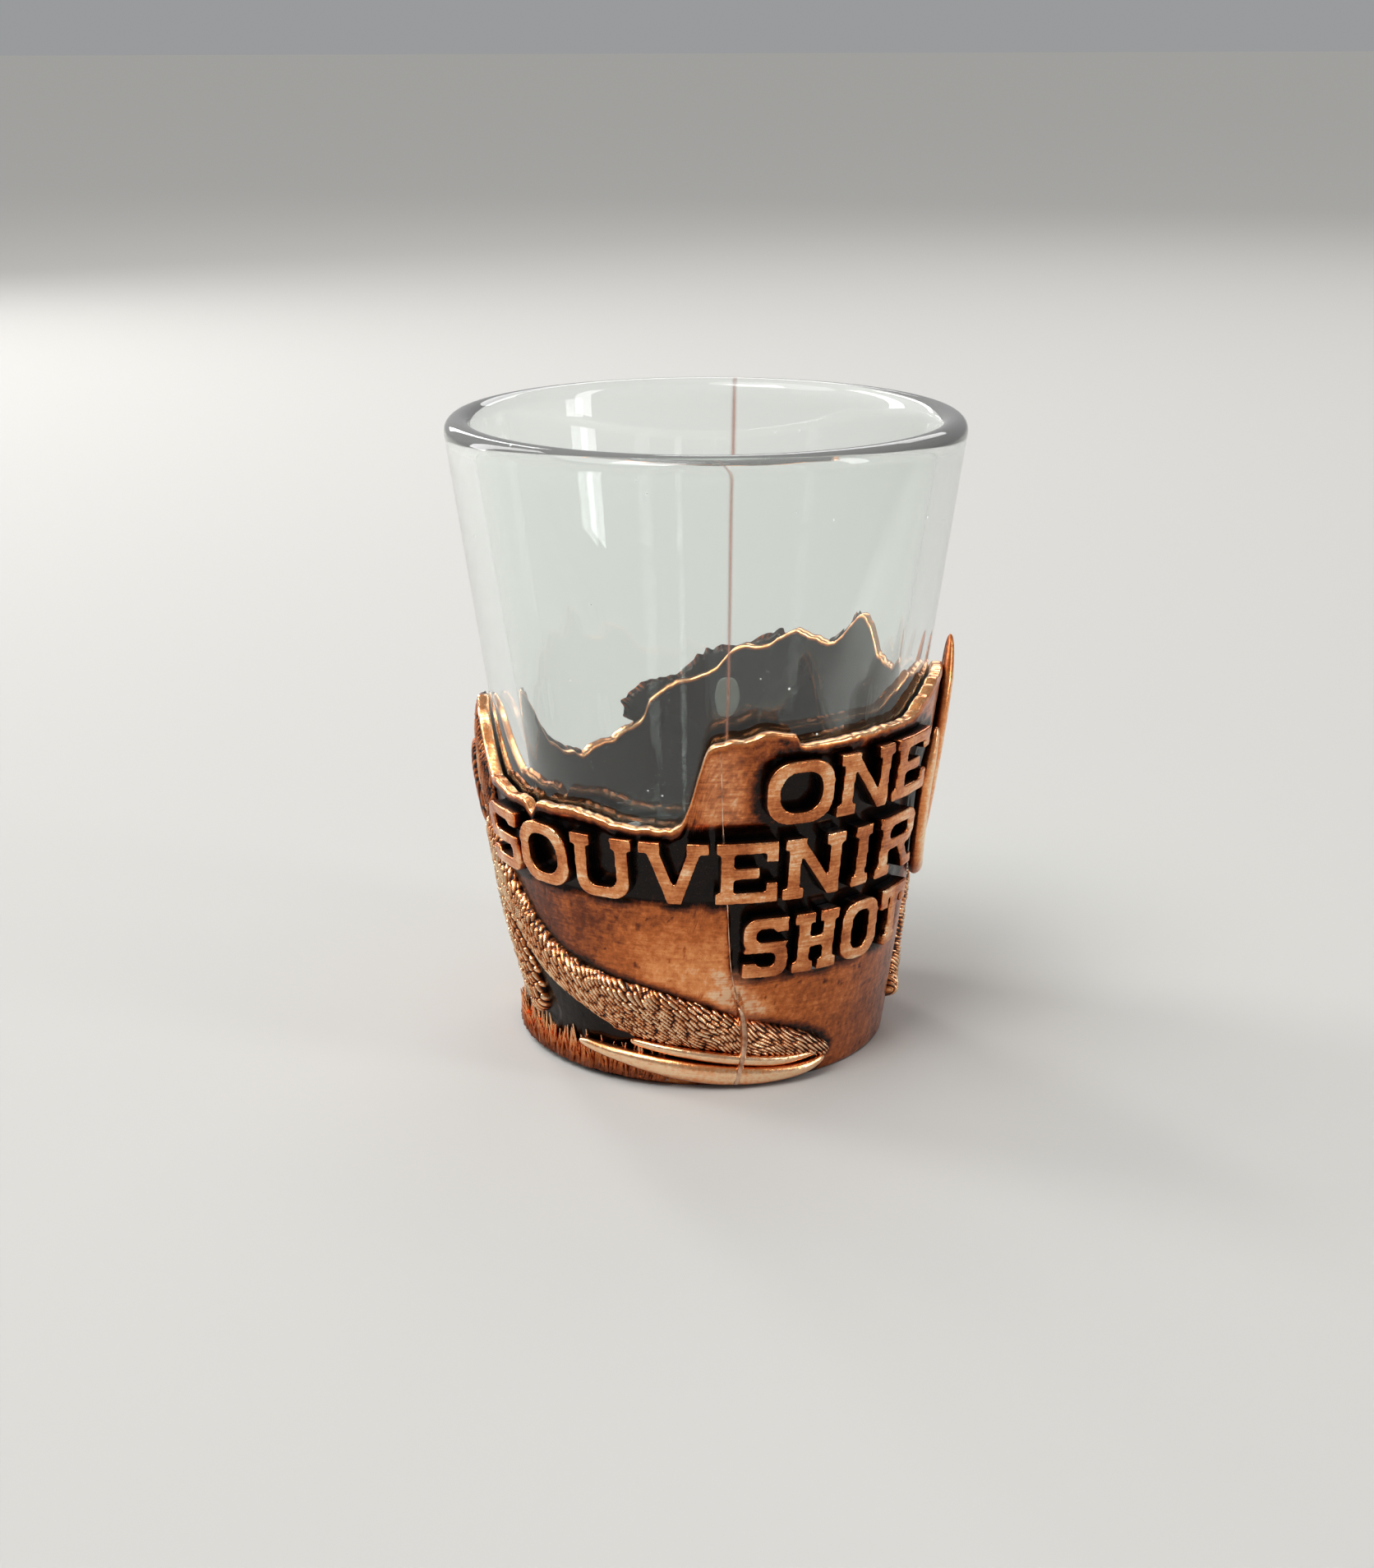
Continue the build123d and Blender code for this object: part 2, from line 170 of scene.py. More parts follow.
HEIGHT = cad_box[1][2] / MM
RIM_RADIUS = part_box("glass_tumbler")[1][0] / MM
BASE_RADIUS = 15.95
WALL = 2.6
FLOOR = 13.0
FLOOR_RISE = 1.0
INNER_CORNER = 5.0
FOOT_ROUND = 1.2
PUNT_RADIUS = 11.0
PUNT_DEPTH = 0.8
MOULD_LINE = 172.8  # Degrees round from the front.
LINE_WIDTH = 0.22
LINE_RISE = 0.015
PRESS_WAVE = 0.035  # How far the cup's wall waves in and out.
BASE_POINTS = 12
FOOT_POINTS = 8
SIDE_POINTS = 34
RIM_POINTS = 16
OUTSIDE_POINTS = BASE_POINTS + FOOT_POINTS + SIDE_POINTS + RIM_POINTS // 2
SCATTER = 43758.5453  # Large enough that the fraction left over looks random.


def glass_radius(height):
    """Radius in millimetres of the tumbler's outer cone."""
    return BASE_RADIUS + (RIM_RADIUS - BASE_RADIUS) * height / (HEIGHT - WALL / 2)


def on_cone(angle, height, offset):
    """Points in metres at a distance out from the tumbler, by degrees round from the front."""
    radius = (glass_radius(height) + offset) * MM
    turn = np.radians(angle)
    return np.stack([radius * np.sin(turn), -radius * np.cos(turn), height * MM + 0 * turn], -1)


def skin(name, rings, material, around=False, values=None):
    """A closed mesh over a grid of rings. The last ring meets the first, or both are capped."""
    count, across = rings.shape[:2]
    points = rings.reshape(-1, 3)
    index = np.arange(count * across).reshape(count, across)
    follow = np.roll(index, -1, axis=0) if around else index[1:]
    here = index if around else index[:-1]
    quads = np.stack([here, np.roll(here, -1, 1), np.roll(follow, -1, 1), follow], -1)
    faces = quads.reshape(-1, 4).tolist()
    if not around:
        points = np.vstack([points, rings[0].mean(0), rings[-1].mean(0)])
        for ring, middle in ((index[0], count * across), (index[-1], count * across + 1)):
            faces += [[int(a), int(b), middle] for a, b in zip(ring, np.roll(ring, -1))]
    mesh = bpy.data.meshes.new(name)
    mesh.from_pydata(points.tolist(), [], faces)
    for key, value in (values or {}).items():
        spread = value.reshape(-1)
        if not around:
            spread = np.concatenate([spread, [value[0].mean(), value[-1].mean()]])
        mesh.attributes.new(key, "FLOAT", "POINT").data.foreach_set(
            "value", spread.astype(np.float32))
    work = bmesh.new()
    work.from_mesh(mesh)
    bmesh.ops.remove_doubles(work, verts=work.verts, dist=1e-7)
    bmesh.ops.recalc_face_normals(work, faces=work.faces)
    work.to_mesh(mesh)
    work.free()
    mesh.polygons.foreach_set("use_smooth", [True] * len(mesh.polygons))
    mesh.materials.append(material)
    piece = bpy.data.objects.new(name, mesh)
    bpy.context.scene.collection.objects.link(piece)
    return piece


def grain(x, y, seed):
    """Smooth random values from 0 to 1, with one new value at each whole number."""
    def corner(i, j):
        value = np.sin(i * 127.1 + j * 311.7 + seed * 74.7) * SCATTER
        return value - np.floor(value)

    i, j = np.floor(x), np.floor(y)
    u, v = x - i, y - j
    u, v = u * u * (3 - 2 * u), v * v * (3 - 2 * v)
    low = corner(i, j) * (1 - u) + corner(i + 1, j) * u
    high = corner(i, j + 1) * (1 - u) + corner(i + 1, j + 1) * u
    return low * (1 - v) + high * v


def step(low, high, value):
    """Rises smoothly from 0 at one value to 1 at another."""
    t = np.clip((value - low) / (high - low), 0, 1)
    return t * t * (3 - 2 * t)


def arc(centre, radius, start, end, count):
    """Points of (radius, height) along an arc, by degrees."""
    turns = np.radians(np.linspace(start, end, count))
    return [(centre[0] + radius * cos(t), centre[1] + radius * sin(t)) for t in turns]


def tumbler_profile():
    """The section from the middle of the base, up the outside and down to the cup's floor."""
    lean = np.degrees(atan2(RIM_RADIUS - BASE_RADIUS, HEIGHT))
    rim = (RIM_RADIUS - WALL / 2, HEIGHT - WALL / 2)
    foot = (glass_radius(FOOT_ROUND) - FOOT_ROUND / cos(radians(lean)), FOOT_ROUND)
    bend = (glass_radius(FLOOR + FLOOR_RISE + INNER_CORNER) - WALL - INNER_CORNER,
            FLOOR + FLOOR_RISE + INNER_CORNER - 0.4)
    points = [(r, PUNT_DEPTH * (1 - (r / PUNT_RADIUS) ** 2))
              for r in np.linspace(0.3, PUNT_RADIUS, BASE_POINTS)]
    points += arc(foot, FOOT_ROUND, -90, -lean, FOOT_POINTS)
    points += [(glass_radius(h), h)
               for h in np.linspace(2.5, HEIGHT - WALL / 2 - 0.6, SIDE_POINTS)]
    points += arc(rim, WALL / 2, -lean, 180 - lean, RIM_POINTS)
    points += [(glass_radius(h) - WALL, h) for h in np.linspace(HEIGHT - 2.2, bend[1] + 0.6, 30)]
    points += arc(bend, INNER_CORNER, -lean, -84, 12)
    start = points[-1]
    points += [(r, FLOOR + (start[1] - FLOOR) * (r / start[0]) ** 2)
               for r in np.linspace(start[0] - 0.8, 0.3, 12)]
    return np.array(points)


profile = tumbler_profile()
# The columns are closest together at the mould's line.
angles = np.sort(np.concatenate([np.linspace(-180, 180, 540, endpoint=False),
                                 MOULD_LINE + np.linspace(-1.3, 1.3, 27) + 0.011]))
radii, heights = [np.repeat(profile[:, k:k + 1], len(angles), 1) for k in (0, 1)]
turns = np.repeat(angles[None], len(profile), 0)
from_line = np.radians(np.abs(angles - MOULD_LINE)) * RIM_RADIUS
mould_line = np.exp(-(from_line / LINE_WIDTH) ** 2)[None] * (radii > PUNT_RADIUS + 2)
outside = (np.arange(len(profile)) < OUTSIDE_POINTS)[:, None]
press_waves = PRESS_WAVE * (grain(turns / 17 + 40, heights / 14, 3) - 0.5)
radii = radii + LINE_RISE * mould_line * outside + press_waves * ~outside * (radii > 3)
# A copper-brown line painted along the mould line: a painted reflection of the copper wrap, seen
# along the glass's joint.
painted_line_reflection = mould_line * outside * (heights < HEIGHT - 1)
# A pale haze at the rim: partly wear from use, partly a painted highlight that lightens the rim.
rim_haze_and_highlight = step(HEIGHT - WALL, HEIGHT - 0.4, heights)

# Water-clear glass with a faint grey-green body. A copper-brown painted reflection of the wrap
# lies along one mould line, a few specks of lint lie on it, and the rim has a pale haze that is
# partly wear from use and partly a painted highlight.
clear_glass = new_material("pressed_soda_lime_glass", "#E8F0EE")
tree = clear_glass.node_tree
line = add(tree, "ShaderNodeAttribute", attribute_name="stain")
place = add(tree, "ShaderNodeTexCoord").outputs["Object"]
cells = add(tree, "ShaderNodeTexVoronoi", {"Vector": place, "Scale": 420})
lone = add(tree, "ShaderNodeSeparateColor", {"Color": cells.outputs["Color"]})
few = add(tree, "ShaderNodeMath", {0: lone.outputs[0], 1: 0.86}, operation="GREATER_THAN")
near = add(tree, "ShaderNodeMath", {0: cells.outputs["Distance"], 1: 0.045},
           operation="LESS_THAN")
lint = add(tree, "ShaderNodeMath", {0: few.outputs[0], 1: near.outputs[0]},
           operation="MULTIPLY")
clear = add(tree, "ShaderNodeBsdfPrincipled",
            {"Base Color": hex_colour("#F6FAF8"), "Roughness": 0.0, "IOR": 1.52,
             "Transmission Weight": 1.0})
# The painted copper reflection along the mould line.
copper_reflection_paint = add(tree, "ShaderNodeBsdfPrincipled",
           {"Base Color": hex_colour("#A0604A"), "Roughness": 0.5})
# Pale white for the specks of lint, and for the rim's haze, which is partly a painted highlight.
lint_and_highlight_white = add(tree, "ShaderNodeBsdfPrincipled",
            {"Base Color": hex_colour("#F2F2EE"), "Roughness": 0.9})
haze = add(tree, "ShaderNodeAttribute", attribute_name="haze").outputs["Fac"]
lint_haze_and_highlight = add(tree, "ShaderNodeMath", {0: haze, 1: 0.16, 2: lint.outputs[0]},
             operation="MULTIPLY_ADD", use_clamp=True)
line_reflection_share = add(tree, "ShaderNodeMath", {0: line.outputs["Fac"], 1: 0.75}, operation="MULTIPLY")
shader = add(tree, "ShaderNodeMixShader", {0: line_reflection_share.outputs[0], 1: clear.outputs[0],
                                           2: copper_reflection_paint.outputs[0]})
shader = add(tree, "ShaderNodeMixShader", {0: lint_haze_and_highlight.outputs[0], 1: shader.outputs[0],
                                           2: lint_and_highlight_white.outputs[0]})
lets_light_by = add(tree, "ShaderNodeBsdfTransparent", {"Color": hex_colour("#EDF3F0")})
ray = add(tree, "ShaderNodeLightPath")
mix = add(tree, "ShaderNodeMixShader", {0: ray.outputs["Is Shadow Ray"], 1: shader.outputs[0],
                                        2: lets_light_by.outputs[0]})
add(tree, "ShaderNodeOutputMaterial", {"Surface": mix.outputs[0]})

across, forward = radii * np.sin(np.radians(turns)), -radii * np.cos(np.radians(turns))
rings = np.stack([across, forward, heights], -1) * MM
tumbler = skin("glass_tumbler_pressed", rings, clear_glass,
               values={"stain": painted_line_reflection, "haze": rim_haze_and_highlight})
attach(tumbler, "root")
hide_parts("glass_tumbler")


# ------------------------------------------------------------------ wrap
# A zinc-alloy casting plated with copper, blackened and rubbed back, bent round the tumbler.
# Its top edge is a ragged skyline with a bright lip, and the fields of the letters sink.

GLUE_GAP = 0.2
PLATE = 1.4
LIP = (PLATE - GLUE_GAP) / 2
LIP_SQUARE = 0.5  # The power that squares a round lip: 1 leaves it round.
LIP_SWELL = 0.07
FIELD_DEPTH = 0.38
LETTER_SHADE = 2.0  # How far the blackening spreads round letters and round animals.
ANIMAL_SHADE = 1.6
MIDDLE_RADIUS = 20.0
OUTSIDE_ROWS = 118
INSIDE_ROWS = 20
BLOTCH_SHARE = 0.22  # How far blotches, specks and file marks change the finish.
SPECK_SHARE = 0.4
FILE_SHARE = 1.6
# The skyline, by degrees round from the front and height.
TOP_EDGE = [
    (-180, 30.4), (-170, 29.6), (-162, 28.0), (-157, 25.6), (-141, 24.2), (-131, 23.8),
    (-114, 26.5), (-101, 31.4), (-92, 33.0), (-84, 31.8), (-78, 28.6), (-71, 27.0),
    (-54, 26.6), (-36, 27.2), (-19, 26.3), (-8, 26.4), (-4.5, 28.2), (-1.5, 31.8),
    (1.5, 34.3), (9, 35.1), (20, 35.3), (30, 34.1), (45, 34.1), (60, 34.4),
    (74, 36.2), (86, 36.6), (99, 35.0), (112, 35.0), (120, 37.4), (127, 38.1),
    (133, 35.6), (139, 34.6), (150, 35.2), (162, 33.5), (171, 32.8),
]
SEAM = [(3.2, 37.0), (4.1, 26.7), (5.5, 19.0), (6.9, 12.2), (9.8, 8.0), (10.6, 5.0), (8.4, 0.3)]
# Fields sunk behind the rows of letters: first and last angle, lowest and highest point. The
# lowest one starts at the seam.
FIELDS = [(15.0, 67.0, 25.6, 32.2), (-90.0, 67.0, 18.3, 26.0), (None, 67.0, 10.8, 18.6)]


def smooth_line(points, count, closed=False):
    """Evenly many places on a smooth line through a few points."""
    knots = np.array(points, float)
    spans = len(knots) if closed else len(knots) - 1
    along = np.linspace(0, spans, count, endpoint=not closed)
    first = np.minimum(along.astype(int), spans - 1)
    t = (along - first)[:, None]

    def knot(shift):
        k = first + shift
        return knots[k % len(knots)] if closed else knots[np.clip(k, 0, len(knots) - 1)]

    a, b, c, d = (knot(shift) for shift in (-1, 0, 1, 2))
    return 0.5 * (2 * b + (c - a) * t + (2 * a - 5 * b + 4 * c - d) * t ** 2
                  + (3 * b - a - 3 * c + d) * t ** 3)


skyline = smooth_line([(a - 360, h) for a, h in TOP_EDGE[-3:]] + TOP_EDGE
                      + [(a + 360, h) for a, h in TOP_EDGE[:3]], 900)
seam_line = smooth_line(SEAM, 200)


def top_edge(angle):
    """Height of the wrap's top edge at an angle."""
    return np.interp((angle + 180) % 360 - 180, skyline[:, 0], skyline[:, 1])


def seam_angle(height):
    """Angle of the soldered seam at a height."""
    return np.interp(height, seam_line[::-1, 1], seam_line[::-1, 0])


def arc_length(angle, height):
    """Millimetres round the wrap from the front."""
    return np.radians(angle) * (glass_radius(height) + PLATE)


def nearness(points, names, reach):
    """Distance in millimetres from each point to the named CAD nodes, up to a reach."""
    points_of, faces_of = [], []
    for name in names:
        mesh = nodes[name].data
        shift = len(points_of)
        points_of += [vertex.co[:] for vertex in mesh.vertices]
        faces_of += [[shift + v for v in face.vertices] for face in mesh.polygons]
    tree = BVHTree.FromPolygons(points_of, faces_of)
    found = [tree.find_nearest(point, reach * MM) for point in points.reshape(-1, 3).tolist()]
    away = [reach if hit[3] is None else hit[3] / MM for hit in found]
    return np.array(away).reshape(points.shape[:-1])


def around(angle, height, size, seed):
    """Smooth random values on the wrap, of a size in millimetres, that meet behind it."""
    run = np.radians(angle) * MIDDLE_RADIUS
    whole = 2 * pi * MIDDLE_RADIUS
    fade = step(150, 180, angle)
    return (grain(run / size + 99, height / size, seed) * (1 - fade)
            + grain((run - whole) / size + 99, height / size, seed) * fade)


def tone_ramp(tree, factor, tones):
    """A colour ramp through pairs of a position and a hex colour."""
    ramp = add(tree, "ShaderNodeValToRGB", {"Fac": factor})
    for position, tone in tones[2:]:
        ramp.color_ramp.elements.new(position)
    for element, (position, tone) in zip(ramp.color_ramp.elements, tones):
        element.position = position
        element.color = hex_colour(tone)
    return ramp.outputs[0]


def copper_finish(name, tones, rough, scratch, shown):
    """Copper plate on a casting: black in the hollows, brown on the flats, bright where rubbed.

    The tones run from the deepest hollow to the brightest crest, and follow the piece's wear.
    A thin clear lacquer over it gives small white glints.
    """
    material = new_material(name, shown)
    tree = material.node_tree
    place = add(tree, "ShaderNodeTexCoord").outputs["Object"]
    wear = add(tree, "ShaderNodeAttribute", attribute_name="wear").outputs["Fac"]
    blotches = add(tree, "ShaderNodeTexNoise", {"Vector": place, "Scale": 300, "Detail": 5,
                                                "Roughness": 0.6}).outputs["Fac"]
    pits = add(tree, "ShaderNodeTexNoise", {"Vector": place, "Scale": 2600, "Detail": 3,
                                            "Roughness": 0.7}).outputs["Fac"]
    stretched = add(tree, "ShaderNodeMapping", {"Vector": place, "Scale": (500, 500, 5200)})
    scratches = add(tree, "ShaderNodeTexNoise", {"Vector": stretched.outputs[0], "Scale": 1.0,
                                                 "Detail": 3, "Roughness": 0.65}).outputs["Fac"]
    shift = add(tree, "ShaderNodeMath", {0: blotches, 1: 0.5}, operation="SUBTRACT").outputs[0]
    worn = add(tree, "ShaderNodeMath", {0: shift, 1: BLOTCH_SHARE, 2: wear},
               operation="MULTIPLY_ADD").outputs[0]
    speck = add(tree, "ShaderNodeMath", {0: pits, 1: 0.5}, operation="SUBTRACT").outputs[0]
    worn = add(tree, "ShaderNodeMath", {0: speck, 1: SPECK_SHARE, 2: worn},
               operation="MULTIPLY_ADD").outputs[0]
    line = add(tree, "ShaderNodeMath", {0: scratches, 1: 0.5}, operation="SUBTRACT").outputs[0]
    filed = add(tree, "ShaderNodeAttribute", attribute_name="filed").outputs["Fac"]
    depth = add(tree, "ShaderNodeMath", {0: filed, 1: FILE_SHARE, 2: scratch},
                operation="MULTIPLY_ADD").outputs[0]
    worn = add(tree, "ShaderNodeMath", {0: line, 1: depth, 2: worn},
               operation="MULTIPLY_ADD").outputs[0]
    colour = tone_ramp(tree, worn, tones)
    pinker = add(tree, "ShaderNodeMix", {0: filed, 6: colour, 7: hex_colour("#C98762")},
                 data_type="RGBA")
    inside = add(tree, "ShaderNodeAttribute", attribute_name="inside").outputs["Fac"]
    shaded = add(tree, "ShaderNodeMix", {0: inside, 6: pinker.outputs[2],
                                         7: hex_colour("#1D1512")}, data_type="RGBA")
    gloss = add(tree, "ShaderNodeMapRange", {"Value": worn, 1: 0.0, 2: 1.0, 3: rough[0],
                                             4: rough[1]}).outputs[0]
    grooves = add(tree, "ShaderNodeMath", {0: scratches, 1: scratch * 1.6, 2: pits},
                  operation="MULTIPLY_ADD").outputs[0]
    bump = add(tree, "ShaderNodeBump", {"Height": grooves, "Strength": 0.42,
                                        "Distance": 0.00006}).outputs[0]
    shader = add(tree, "ShaderNodeBsdfPrincipled",
                 {"Base Color": shaded.outputs[2], "Metallic": 1.0, "Roughness": gloss,
                  "Normal": bump, "Coat Weight": 0.35, "Coat Roughness": 0.12})
    add(tree, "ShaderNodeOutputMaterial", {"Surface": shader.outputs[0]})
    return material


antique_copper = copper_finish(
    "copper_plated_zinc_blackened_and_rubbed",
    [(0.0, "#0B0604"), (0.2, "#1F0F08"), (0.42, "#7A3A1B"), (0.62, "#C46A33"),
     (0.82, "#F09C5E"), (1.0, "#FFDAB0")],
    (0.46, 0.2), 0.25, "#8A4F30")


def wrap_profile():
    """Round the wrap's section: (share of the height, offset, drop below the top edge)."""
    outside = [(t, PLATE, LIP) for t in np.linspace(0.004, 1, OUTSIDE_ROWS)]
    lip = [(1.0, GLUE_GAP + LIP + LIP * np.sign(cos(t)) * abs(cos(t)) ** LIP_SQUARE,
            LIP - LIP * sin(t) ** LIP_SQUARE) for t in np.linspace(0, pi, 11)[1:-1]]
    inside = [(t, GLUE_GAP, LIP) for t in np.linspace(1, 0.006, INSIDE_ROWS)]
    return np.array(outside + lip + inside + [(0.0, 0.4, LIP), (0.0, 1.2, LIP)])


# The columns are closest together at the front, where the letters are.
columns = np.concatenate([np.linspace(-180, -88, 110, endpoint=False),
                          np.linspace(-88, 88, 300, endpoint=False),
                          np.linspace(88, 180, 110, endpoint=False)])
section = wrap_profile()
ragged_edge = 0.5 * (around(columns, 0 * columns, 1.6, 11) - 0.5)
ragged_edge += 0.16 * (around(columns, 0 * columns, 0.5, 12) - 0.5)
ragged_edge -= 0.8 * step(21.0, 22.4, columns) * step(34, 22.5, columns)
ragged_edge -= 0.9 * np.exp(-((columns + 50) / 1.6) ** 2)
tops = (top_edge(columns) + ragged_edge - 0.15)[:, None]
share, offset, drop = [np.repeat(section[None, :, k], len(columns), 0) for k in range(3)]
height = share * (tops - drop)
angle = np.repeat(columns[:, None], len(section), 1)
below = tops - height
is_outside = np.arange(len(section)) < OUTSIDE_ROWS
round_wrap = arc_length(angle, height)

# The fields sink behind the letters.
field = np.zeros_like(height)
for first, last, low, high in FIELDS:
    start = seam_angle(height) + 0.2 if first is None else first
    soft = 0.5 if first is None else 7.0
    window = step(start - soft / 2, start + soft / 2, angle) * step(last + 9, last, angle)
    field = np.maximum(field, window * step(low, low + 0.9, height)
                       * step(high + 0.9, high, height))
field *= step(0.7, 1.5, below)

lettering = ["letters_upper", "letters_middle", "letters_lower"]
animals = [name for name in nodes if name.startswith(("bull_", "calf_", "grass_"))]
outer_points = on_cone(angle, height, offset)
to_letters = nearness(outer_points, lettering, LETTER_SHADE)
to_letters = np.where(is_outside, to_letters, LETTER_SHADE)
to_animals = nearness(outer_points, animals, ANIMAL_SHADE)
to_animals = np.where(is_outside, to_animals, ANIMAL_SHADE)

from_seam = np.abs(arc_length(angle - seam_angle(height), height))
# The patches beside the seam, at both its ends, are filed.
filed = step(3.4, 1.2, from_seam + 1.6 * grain(height / 1.3, round_wrap / 1.5, 21))
filed *= np.maximum(step(26.0, 27.5, height), step(12.5, 11.0, height)) * is_outside
filed *= step(0.5, 1.4, below)

# The casting's texture, a lip that swells, file marks, and the groove of the seam.
ripple = around(angle, height, 2.4, 5) - 0.5
tooth = around(angle, height, 0.45, 6) - 0.5
pocks = step(0.86, 0.97, around(angle, height, 0.5, 7))
lip_swell = np.exp(-((below - 0.55) / 0.35) ** 2)
lip_swell = lip_swell * (0.3 + 1.2 * around(angle, 0 * height, 1.3, 8))
cross_hatch = around(angle, height, 0.22, 9) - 0.5
relief = (0.05 * filed * cross_hatch + 0.07 * ripple + 0.025 * tooth
          - 0.05 * pocks * (1 - filed) + LIP_SWELL * lip_swell)
relief -= FIELD_DEPTH * field
relief -= 0.12 * np.exp(-(from_seam / 0.16) ** 2) + 0.1 * step(0.35, 0, to_animals)
offset = offset + relief * is_outside * step(0.0, 0.5, height)

# Wear is 0 in a black hollow and 1 on a bright crest.
polished = 0.5 + 0.06 * step(10, 45, angle) + 0.10 * ripple + 0.16 * tooth - 0.25 * pocks
polished += 0.3 * np.exp(-((angle + 2) / 24) ** 2) * step(20, 12, height)
polished *= 0.60 + 0.40 * step(-75, -12, angle)
dark = np.maximum(field, 0.75 * step(1.5, 0.5, to_letters))
wear = polished * (1 - dark) + (0.07 + 0.10 * step(0.6, 0.95, tooth + 0.5)) * dark
wear *= 0.25 + 0.75 * step(0.1, 1.3, to_animals)
bright_lip = np.exp(-((below - 0.1) / 0.34) ** 2)
wear = np.maximum(wear, (0.95 + 0.3 * tooth) * bright_lip)
wear += 0.2 * filed + 0.5 * filed * cross_hatch
hollow = step(-66, -58, angle) * step(-12, -24, angle) * step(2.5, 4.0, height)
wear *= 1 - 0.85 * hollow * step(12.0, 9.5, height + 0.1 * (angle + 45))
wear = np.where(is_outside, wear, 0.9 * bright_lip)
inside = np.where(is_outside, 0, 1 - 0.9 * bright_lip) * (below > LIP * 0.6)
wrap = skin("wrap_band_cast", on_cone(angle, height, offset), antique_copper, around=True,
            values={"wear": wear, "filed": 0.4 * filed, "inside": inside})
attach(wrap, "root")
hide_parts("wrap_band")


# ------------------------------------------------------------------ letters
# Slab-serif capitals cast with the wrap, soft at their edges, rubbed bright on their faces.
# They say only what the thing is.

LETTER_FACE = 2.5
VOXEL = 0.00014

# The same plate as the wrap, rubbed brighter and scratched more.
brushed_copper = copper_finish(
    "copper_plated_zinc_rubbed_bright",
    [(0.0, "#0B0604"), (0.25, "#25120A"), (0.5, "#7A3A1A"), (0.7, "#BE6A38"),
     (0.86, "#E99A60"), (1.0, "#FFDDB4")],
    (0.42, 0.18), 0.45, "#B8764E")


def settle_modifiers(piece):
    """Puts the result of a piece's modifiers in place of its mesh."""
    seen = piece.evaluated_get(bpy.context.evaluated_depsgraph_get())
    mesh = bpy.data.meshes.new_from_object(seen)
    piece.modifiers.clear()
    piece.data = mesh
    return mesh


def mesh_points(mesh):
    """The points of a mesh, in metres."""
    values = np.zeros(len(mesh.vertices) * 3, np.float32)
    mesh.vertices.foreach_get("co", values)
    return values.reshape(-1, 3)


def set_points(mesh, points, wear):
    """Moves the points of a mesh, and says how worn each one is."""
    mesh.vertices.foreach_set("co", points.astype(np.float32).reshape(-1))
    mesh.attributes.new("wear", "FLOAT", "POINT").data.foreach_set(
        "value", wear.astype(np.float32))


for name in lettering:
    words = bpy.data.objects.new(name + "_cast", nodes[name].data.copy())
    bpy.context.scene.collection.objects.link(words)
    # The letters' feet sink with the field behind them.
    work = bmesh.new()
    work.from_mesh(words.data)
    bmesh.ops.remove_doubles(work, verts=work.verts, dist=1e-6)
    for vertex in work.verts:
        radius = hypot(vertex.co.x, vertex.co.y) / MM
        out = radius - glass_radius(vertex.co.z / MM)
        if out < PLATE + 0.2:
            pull = (radius - FIELD_DEPTH - 0.15) / radius
            vertex.co.x *= pull
            vertex.co.y *= pull
    work.to_mesh(words.data)
    work.free()
    words.modifiers.new("cast", "REMESH").mode = "VOXEL"
    words.modifiers["cast"].voxel_size = VOXEL
    words.modifiers.new("soften", "SMOOTH").iterations = 3
    words_mesh = settle_modifiers(words)
    points = mesh_points(words_mesh) / MM
    turn = np.degrees(np.arctan2(points[:, 0], -points[:, 1]))
    radius = np.hypot(points[:, 0], points[:, 1])
    out = radius - glass_radius(points[:, 2])
    x, z = arc_length(turn, points[:, 2]), points[:, 2]
    dents = 0.10 * (grain(x / 1.1 + 70, z / 1.1, 31) - 0.5)
    dents = dents + 0.05 * (grain(x / 0.4 + 70, z / 0.4, 32) - 0.5)
    new_out = np.minimum(out + dents * step(1.6, 2.4, out), LETTER_FACE)
    wear = step(1.35, 2.35, out) * (0.78 + 0.3 * (grain(x / 1.6 + 70, z / 1.6, 33) - 0.5))
    points[:, :2] *= ((new_out + glass_radius(z)) / radius)[:, None]
    set_points(words_mesh, points * MM, wear)
    words_mesh.materials.clear()
    words_mesh.materials.append(brushed_copper)
    words_mesh.polygons.foreach_set("use_smooth", [True] * len(words_mesh.polygons))
    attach(words, "root")
    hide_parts(name)


# ------------------------------------------------------------------ relief animals
# Two woolly mammoths cast on the wrap: a calf at the left, whose trunk lies along the front,
# and a bull at the right and the back. Hair is combed into the casting, tusks are smooth.
# Offsets are out from the glass.

LOW_RELIEF = 2.2
MIDDLE_RELIEF = 2.6
HIGH_RELIEF = 2.8
EAR_FACE = 3.4
ROOT = PLATE - 0.5
EDGE = PLATE - 0.35  # Forms start a little below the plate's face.
LOWEST = 0.06
HAIR = 0.34  # How deep the hair is cut.
RAGGED = 0.16
WOOL_LOCK = (2.4, 0.42)  # Length and width of a lock on the bodies and heads.
WOOL_LEAN = 0.25


